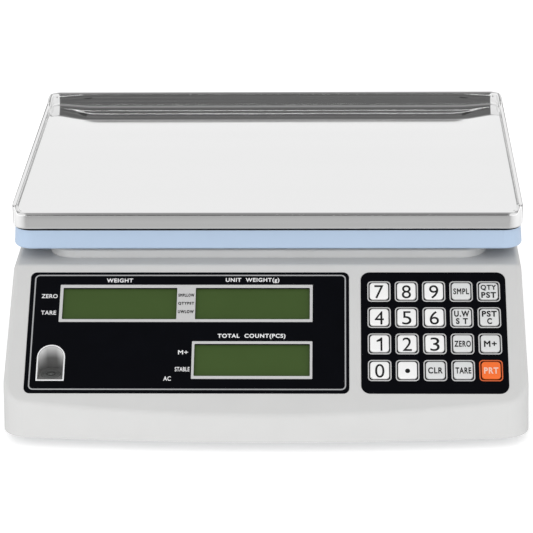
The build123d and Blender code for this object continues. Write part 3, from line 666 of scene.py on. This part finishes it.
def make_labels():
    """Words printed on the overlay: text, middle x and w, width, height and weight."""
    heavy, medium = 0.030, 0.016
    labels = (("WEIGHT", -97.5, 12.1, 17.5, 3.0, heavy),
              ("UNIT  WEIGHT(g)", -9.3, 12.1, 35.6, 3.8, heavy),
              ("TOTAL  COUNT(PCS)", -9.3, 53.8, 44.5, 3.9, heavy),
              ("ZERO", -143.7, 23.9, 10.7, 3.0, medium),
              ("TARE", -143.7, 36.3, 10.0, 3.0, medium),
              ("M+", -53.9, 65.5, 6.5, 3.1, medium),
              ("STABLE", -54.1, 77.8, 9.6, 3.2, medium),
              ("AC", -63.7, 84.6, 5.0, 3.2, medium))
    white = [(lettering(text, height, width, weight), on_panel(x, w))
             for text, x, w, width, height, weight in labels]
    piece("overlay_labels", joined(white), ink_white, "housing")
    middle = (LCD_CENTRES["lcd_weight"][0] + LCD_CENTRES["lcd_unit_weight"][0]) / 2
    dark = [(lettering(text, 2.4, 10.6, 0.05), on_panel(middle, w, INK))
            for text, w in (("SMPLLOW", 23.2), ("QTYPST", 29.4), ("UWLOW", 35.5))]
    piece("indicator_labels", joined(dark), ink_black, "housing")


# ---------------------------------------------------------------- level pocket

def make_pocket_painted_shade_material(floor, top):
    """Satin grey with painted shade: paler towards the pocket's sides and towards its top, darker low in its
    middle.
    """
    material = finish("pocket_painted_shade", (0.3, 0.3, 0.3), 0.45, mottle=0.02, grain=0.006)
    tree = material.node_tree
    parts = tree.nodes.new("ShaderNodeSeparateXYZ")
    coordinates = tree.nodes.new("ShaderNodeTexCoord")
    tree.links.new(coordinates.outputs["Object"], parts.inputs["Vector"])
    half = POCKET_WIDTH / 2 * MM
    left = mapped(tree, parts.outputs["X"], 1.0, 0.0, POCKET_X * MM - half, POCKET_X * MM - half * 0.35)
    right = mapped(tree, parts.outputs["X"], 0.0, 1.0, POCKET_X * MM + half * 0.35, POCKET_X * MM + half)
    sides = tree.nodes.new("ShaderNodeMath")
    sides.operation = "ADD"
    tree.links.new(left, sides.inputs[0])
    tree.links.new(right, sides.inputs[1])
    height = top - floor
    middle = blended(tree, mapped(tree, parts.outputs["Z"], 0.0, 1.0, floor + height * 0.45, top),
                     POCKET_PAINTED_SHADE_TONES[0], POCKET_PAINTED_SHADE_TONES[2])
    side = blended(tree, mapped(tree, parts.outputs["Z"], 0.0, 1.0, floor, floor + height * 0.8),
                   POCKET_PAINTED_SHADE_TONES[1], POCKET_PAINTED_SHADE_TONES[3])
    tone = blended(tree, sides.outputs["Value"], middle, side)
    tree.links.new(tone, tree.nodes["Principled BSDF"].inputs["Base Color"])
    return material


def make_pocket():
    """Liner of the arched pocket with painted shade in its grey, its printed edge, and the round level in its
    floor.
    """
    edge = plate([arch(POCKET_FRAME), arch(0.0)], 0.12)
    piece("pocket_edge", edge, ink_white, "housing", on_panel(POCKET_X, 0))
    vial_low, vial_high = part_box("level_vial")
    floor = vial_high.z - 0.35 * MM
    outline = arch(-0.15)
    to_world = on_panel(POCKET_X, 0, -0.1)
    # painted shade on the liner and its floor: the grey darkens towards the pocket's low middle
    painted_shade = make_pocket_painted_shade_material(floor, on_panel(POCKET_X, POCKET_W[0]).translation.z)
    upper = [to_world @ Vector((x * MM, y * MM, 0)) / MM for x, y in outline]
    rings = [[tuple(p) for p in upper]]
    for share in (0.25, 0.5, 0.75, 0.94):
        rings.append([(p.x, p.y, p.z + (floor / MM - p.z) * share) for p in upper])
    rings.append([(p.x, p.y, floor / MM) for p in upper])
    liner = loft(rings)
    piece("pocket_liner", liner, painted_shade, "housing")
    centre = Vector(((vial_low.x + vial_high.x) / 2, (vial_low.y + vial_high.y) / 2, floor))
    radius = (vial_high.x - vial_low.x) / 2 / MM
    base = plate([[(p.x - centre.x / MM, p.y - centre.y / MM) for p in upper], circle(radius + 0.05)], 0.1)
    base.transform(Matrix.Translation(centre))
    piece("pocket_floor", base, painted_shade, "housing")
    place = Matrix.Translation((centre.x, centre.y, vial_high.z))
    profile = [(radius, -7.4), (radius, -0.5), *arc((radius - 0.5, -0.5), 0.5, 0, 90, 5),
               (radius - 1.2, 0.0), (radius - 1.5, -0.35)]
    dome = [(radius - 1.5 - (radius - 1.6) * i / 8, -0.35 + 0.33 * math.sin(math.pi / 2 * i / 8))
            for i in range(1, 9)]
    body = loft([[(x, y, up) for x, y in circle(reach)] for reach, up in (*profile, *dome)],
                cap_first=True, cap_last=True)
    level = piece("level_body", body, materials["vial_clear"], "housing", place)
    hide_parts("level_vial")
    target = plate([circle(2.9), circle(2.55)], INK)
    piece("level_target", target, ink_black, "housing", place)
    bubble = loft([[(x, y, 0.05 + 0.5 * math.cos(math.pi / 2 * i / 6) - 0.5) for x, y in
                    circle(0.1 + 1.9 * math.sin(math.pi / 2 * i / 6), 32)] for i in range(7)],
                  cap_first=True)
    piece("level_bubble", bubble, bubble_grey, "housing", place)


# ---------------------------------------------------------------- back and side fittings

def make_serial_port():
    """Nine-pin port: flange, flared shell, insert, nine pins and two jack screws."""
    low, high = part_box("serial_port")
    middle = Vector(((low.x + high.x) / 2, high.y, (low.z + high.z) / 2))
    turn = Matrix(((-1, 0, 0), (0, 0, 1), (0, 1, 0))).transposed().to_4x4()
    place = Matrix.Translation(middle) @ turn

    def trapezium(width, height, radius, steps=5):
        """D-shaped outline: a rounded rectangle whose lower side is shorter."""
        outline = rounded(width * 0.94, height, radius, steps)
        return [(x * (1 + 0.09 * y / (height / 2)), y) for x, y in outline]

    def level(outline, height):
        return [(x, y, height) for x, y in outline]

    depth = (high.y - low.y) / MM
    shell = loft([level(trapezium(17, 8.4, 2.4), -5.0), level(trapezium(17, 8.4, 2.4), -0.3),
                  level(trapezium(16.7, 8.1, 2.3), 0.0), level(trapezium(15.9, 7.3, 1.9), 0.0),
                  level(trapezium(15.6, 7.0, 1.8), -0.3), level(trapezium(15.6, 7.0, 1.8), -5.0)],
                 closed=True)
    flange = plate([rounded(31, 12.5, 1.6), *[circle(1.4, 20, (x, 0.0)) for x in (-12.5, 12.5)]], 0.9, 0.15)
    case = plate([rounded(19, 10, 0.8)], 11.0, 0.2)
    screws = [(loft([level(circle(2.4, 6), 0.0), level(circle(2.4, 6), 3.6), level(circle(2.0, 6), 4.0),
                     level(circle(1.2, 6), 4.0), level(circle(1.2, 6), 1.0)], cap_first=True, cap_last=True),
               Matrix.Translation((x * MM, 0, -5.1 * MM))) for x in (-12.5, 12.5)]
    steel = joined([(shell, Matrix.Identity(4)), (flange, Matrix.Translation((0, 0, -5.85 * MM))), *screws])
    port = piece("port_shell", steel, materials["port_steel"], "housing", place)
    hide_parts("serial_port")
    insert = joined([(plate([trapezium(15.4, 6.8, 1.7)], 2.2, 0.1), Matrix.Translation((0, 0, -5.3 * MM))),
                     (case, Matrix.Translation((0, 0, -(depth - 0.4) * MM)))])
    piece("port_insert", insert, materials["switch_black"], "housing", place)
    pins = []
    for row, count in ((1.42, 5), (-1.42, 4)):
        for i in range(count):
            pin = loft([level(circle(0.5, 14), -3.2), level(circle(0.5, 14), -1.0),
                        level(circle(0.3, 14), -0.6)], cap_first=True, cap_last=True)
            pins.append((pin, Matrix.Translation(((i - (count - 1) / 2) * 2.76 * MM, row * MM, 0))))
    piece("port_pins", joined(pins), brass, "housing", place)


def make_jack_details():
    """Knurled nut and centre pin of the charger jack."""
    low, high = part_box("dc_jack")
    middle = Vector(((low.x + high.x) / 2, high.y, (low.z + high.z) / 2))
    turn = Matrix(((-1, 0, 0), (0, 0, 1), (0, 1, 0))).transposed().to_4x4()
    place = Matrix.Translation(middle) @ turn
    teeth = 40
    outline = []
    for i in range(2 * teeth):
        reach = 5.6 - 0.15 * (i % 2)
        outline.append((reach * math.cos(math.pi * i / teeth), reach * math.sin(math.pi * i / teeth)))
    nut = plate([outline, circle(4.05)], 1.4, 0.12)
    seat = place @ Matrix.Translation((0, 0, -1.35 * MM))
    piece("jack_nut", nut, materials["zinc_steel"], "housing", seat)
    pin = loft([[(x, y, up) for x, y in circle(reach, 20)] for reach, up in
                ((1.03, -9.0), (1.03, -1.2), (0.8, -0.7), (0.5, -0.6))], cap_first=True, cap_last=True)
    piece("jack_pin", pin, brass, "housing", place)


def make_rocker_marks():
    """Bar and ring marks on the two halves of the power rocker."""
    rocker = frame["nodes"]["power_rocker"]
    low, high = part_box("power_rocker")
    middle_y = (low.y + high.y) / 2
    polygons = [p for p in rocker.data.polygons if p.normal.x > 0.5]
    for label, side in (("bar", 1), ("ring", -1)):
        height = (low.z + high.z) / 2 + side * 4.2 * MM
        near = min(polygons, key=lambda p: abs(p.center.z - height) + abs(p.center.y - middle_y) * 0.1)
        normal = Vector((near.normal.x, 0, near.normal.z)).normalized()
        vertex = rocker.data.vertices[near.vertices[0]].co
        surface_x = vertex.x + (vertex.z - height) * normal.z / normal.x
        upward = normal.cross(Vector((0, 1, 0)))
        if upward.z < 0:
            upward.negate()
        turn = Matrix((Vector((0, 1, 0)), upward, normal)).transposed().to_4x4()
        place = Matrix.Translation(Vector((surface_x, middle_y, height)) + normal * 0.03 * MM) @ turn
        mesh = (plate([rounded(0.7, 3.6, 0.3)], INK) if label == "bar"
                else plate([circle(1.6), circle(1.05)], INK))
        piece("rocker_" + label + "_mark", mesh, ink_white, "power_rocker", place)


# ---------------------------------------------------------------- stage

def make_camera():
    yaw, pitch, roll = (math.radians(a) for a in (CAMERA_YAW, CAMERA_PITCH, CAMERA_ROLL))
    forward = Vector((math.sin(yaw) * math.cos(pitch), math.cos(yaw) * math.cos(pitch), -math.sin(pitch)))
    level_right = Vector((math.cos(yaw), -math.sin(yaw), 0))
    level_up = level_right.cross(forward)
    right = level_right * math.cos(roll) + level_up * math.sin(roll)
    up = level_up * math.cos(roll) - level_right * math.sin(roll)
    data = bpy.data.cameras.new("camera")
    data.lens = CAMERA_LENS
    data.sensor_width = CAMERA_SENSOR
    camera = bpy.data.objects.new("camera", data)
    scene.collection.objects.link(camera)
    turn = Matrix((right, up, -forward)).transposed().to_4x4()
    camera.matrix_world = Matrix.Translation(Vector(CAMERA_PLACE) * MM) @ turn
    scene.camera = camera


def make_world():
    """Soft studio light from above, dimmer towards the horizon."""
    world = bpy.data.worlds.new("studio")
    world.use_nodes = True
    scene.world = world
    tree = world.node_tree
    coordinates = tree.nodes.new("ShaderNodeTexCoord")
    height = tree.nodes.new("ShaderNodeSeparateXYZ")
    tree.links.new(coordinates.outputs["Generated"], height.inputs["Vector"])
    shade = blended(tree, mapped(tree, height.outputs["Z"], 0.0, 1.0, 0.0, 1.0), HORIZON, ZENITH)
    background = tree.nodes["Background"]
    tree.links.new(shade, background.inputs["Color"])
    background.inputs["Strength"].default_value = WORLD_STRENGTH


def stage_mesh(name, points, faces, material, place=(0, 0, 0)):
    mesh = bpy.data.meshes.new(name)
    mesh.from_pydata(points, [], faces)
    mesh.shade_smooth()
    mesh.materials.append(material)
    made = bpy.data.objects.new(name, mesh)
    scene.collection.objects.link(made)
    made.location = place
    return made


def flat_stage(name, place, size, material):
    half_x, half_y = size[0] / 2, size[1] / 2
    points = [(-half_x, -half_y, 0), (half_x, -half_y, 0), (half_x, half_y, 0), (-half_x, half_y, 0)]
    return stage_mesh(name, points, [(0, 1, 2, 3)], material, place)


def bent_stage(name, radius, half_width, low, high, material, steps=32):
    """A sheet bent round the X axis, from one elevation above the front to another, in degrees."""
    rows = arc((0, 0), radius, 180 - low, 180 - high, steps)
    points = [(x, y, z) for y, z in rows for x in (-half_width, half_width)]
    faces = [(2 * i, 2 * i + 1, 2 * i + 3, 2 * i + 2) for i in range(steps)]
    return stage_mesh(name, points, faces, material, (0, 0, FLAG_CENTRE))


def flag_material(name, tones, stripes, fade, axis="Y", turning=(0.0, 0.1)):
    """Glow of a studio flag: long stripes across of two tones, which turn to a third tone along an
    axis, and clear towards both ends in X."""
    dark, pale, last = [(tone, tone, tone) for tone in tones]
    material = bpy.data.materials.new(name)
    material.use_nodes = True
    tree = material.node_tree
    tree.nodes.remove(tree.nodes["Principled BSDF"])
    coordinates = tree.nodes.new("ShaderNodeTexCoord")
    parts = tree.nodes.new("ShaderNodeSeparateXYZ")
    tree.links.new(coordinates.outputs["Object"], parts.inputs["Vector"])
    streaks = noise(tree, stripes, 3.0, (0.02, 1.0, 1.0))
    tone = blended(tree, mapped(tree, streaks, 0.0, 1.0, 0.35, 0.65), dark, pale)
    tone = blended(tree, mapped(tree, parts.outputs[axis], 0.0, 1.0, *turning), tone, last)
    glow = tree.nodes.new("ShaderNodeEmission")
    tree.links.new(tone, glow.inputs["Color"])
    clear = tree.nodes.new("ShaderNodeBsdfTransparent")
    offset = tree.nodes.new("ShaderNodeMath")
    offset.operation = "ABSOLUTE"
    tree.links.new(parts.outputs["X"], offset.inputs[0])
    mix = tree.nodes.new("ShaderNodeMixShader")
    tree.links.new(mapped(tree, offset.outputs["Value"], 0.0, 1.0, *fade), mix.inputs["Fac"])
    tree.links.new(glow.outputs["Emission"], mix.inputs[1])
    tree.links.new(clear.outputs["BSDF"], mix.inputs[2])
    tree.links.new(mix.outputs["Shader"], tree.nodes["Material Output"].inputs["Surface"])
    return material


def reflection_only(made):
    """A studio flag: seen in glossy reflections, but neither in the picture nor in the soft light."""
    made.visible_camera = False
    made.visible_diffuse = False
    made.visible_transmission = False
    made.visible_shadow = False


def make_stage():
    floor_paper = finish("floor_paper", FLOOR_TONE, 0.8, mottle=0.005, mottle_scale=2.0, grain=0.0,
                         level=0.1)
    paper = floor_paper.node_tree.nodes["Principled BSDF"]
    paper.inputs["Emission Color"].default_value = (1.0, 1.0, 1.0, 1.0)
    paper.inputs["Emission Strength"].default_value = FLOOR_GLOW
    flat_stage("floor", (0, 0, 0), (30, 30), floor_paper)
    # dark flag over the front, mirrored by the rims, the pan's roll and the black film
    front = flag_material("front_flag", FLAG_TONES, 30.0, (0.40, 1.0), "Z", (1.4, 2.1))
    reflection_only(bent_stage("front_flag", FLAG_RADIUS, 1.3, *FLAG_RANGE, front))
    runner = flag_material("front_runner", RUNNER_TONES, 20.0, (0.50, 1.0))
    reflection_only(flat_stage("front_runner", (0, RUNNER_Y, CARD_LIFT), (2.2, 1.73), runner))
    # thin bright strip before it, mirrored as two fine lines by the dip in the pan's floor
    strip = flag_material("streak_light", STREAK_TONES, 1.0, (0.9, 1.2))
    streak_range = (STREAK - STREAK_WIDTH / 2, STREAK + STREAK_WIDTH / 2)
    reflection_only(bent_stage("streak_light", FLAG_RADIUS - 0.02, 1.3, *streak_range, strip, 2))
    # grey card on the floor in front, mirrored by the pan's skirt
    front_card = flag_material("front_card", CARD_TONES, 70.0, (0.24, 0.60), "Y", (-0.02, 0.03))
    reflection_only(flat_stage("front_card", (0, FRONT_CARD_Y, CARD_LIFT), (1.3, 1.0), front_card))
    # grey card on the floor behind and low flag beyond it, mirrored by the edges of the rims
    rear_card = flag_material("rear_card", REAR_TONES, 3.0, (1.8, 2.4))
    reflection_only(flat_stage("rear_card", (0, REAR_CARD_Y, CARD_LIFT), (5.0, 4.0), rear_card))
    reflection_only(bent_stage("rear_flag", 4.0, 2.5, 180 - REAR_FLAG, 182, rear_card, 4))
    for name, place, size, energy in LIGHTS:
        data = bpy.data.lights.new(name, "AREA")
        data.energy = energy
        data.size = size
        light = bpy.data.objects.new(name, data)
        scene.collection.objects.link(light)
        light.location = place
        light.rotation_euler = (Vector((0, 0, 0.05)) - Vector(place)).to_track_quat("-Z", "Y").to_euler()
        light.visible_glossy = False


# ---------------------------------------------------------------- the whole object

slots = {part["node"]: part["material_slot"] for part in frame["record"]["subparts"]}
joint_names = {j["name"] for j in frame["joints"]}
for node, shown in frame["nodes"].items():
    if not shown.material_slots:
        shown.data.materials.append(None)
    for material_slot in shown.material_slots:
        material_slot.material = materials[slots[node]]

make_pan()
make_ledge_shadow_strip()
make_keys()
make_frames()
make_labels()
make_pocket()
make_serial_port()
make_jack_details()
make_rocker_marks()
make_camera()
make_world()
make_stage()
scene.view_settings.view_transform = "Standard"
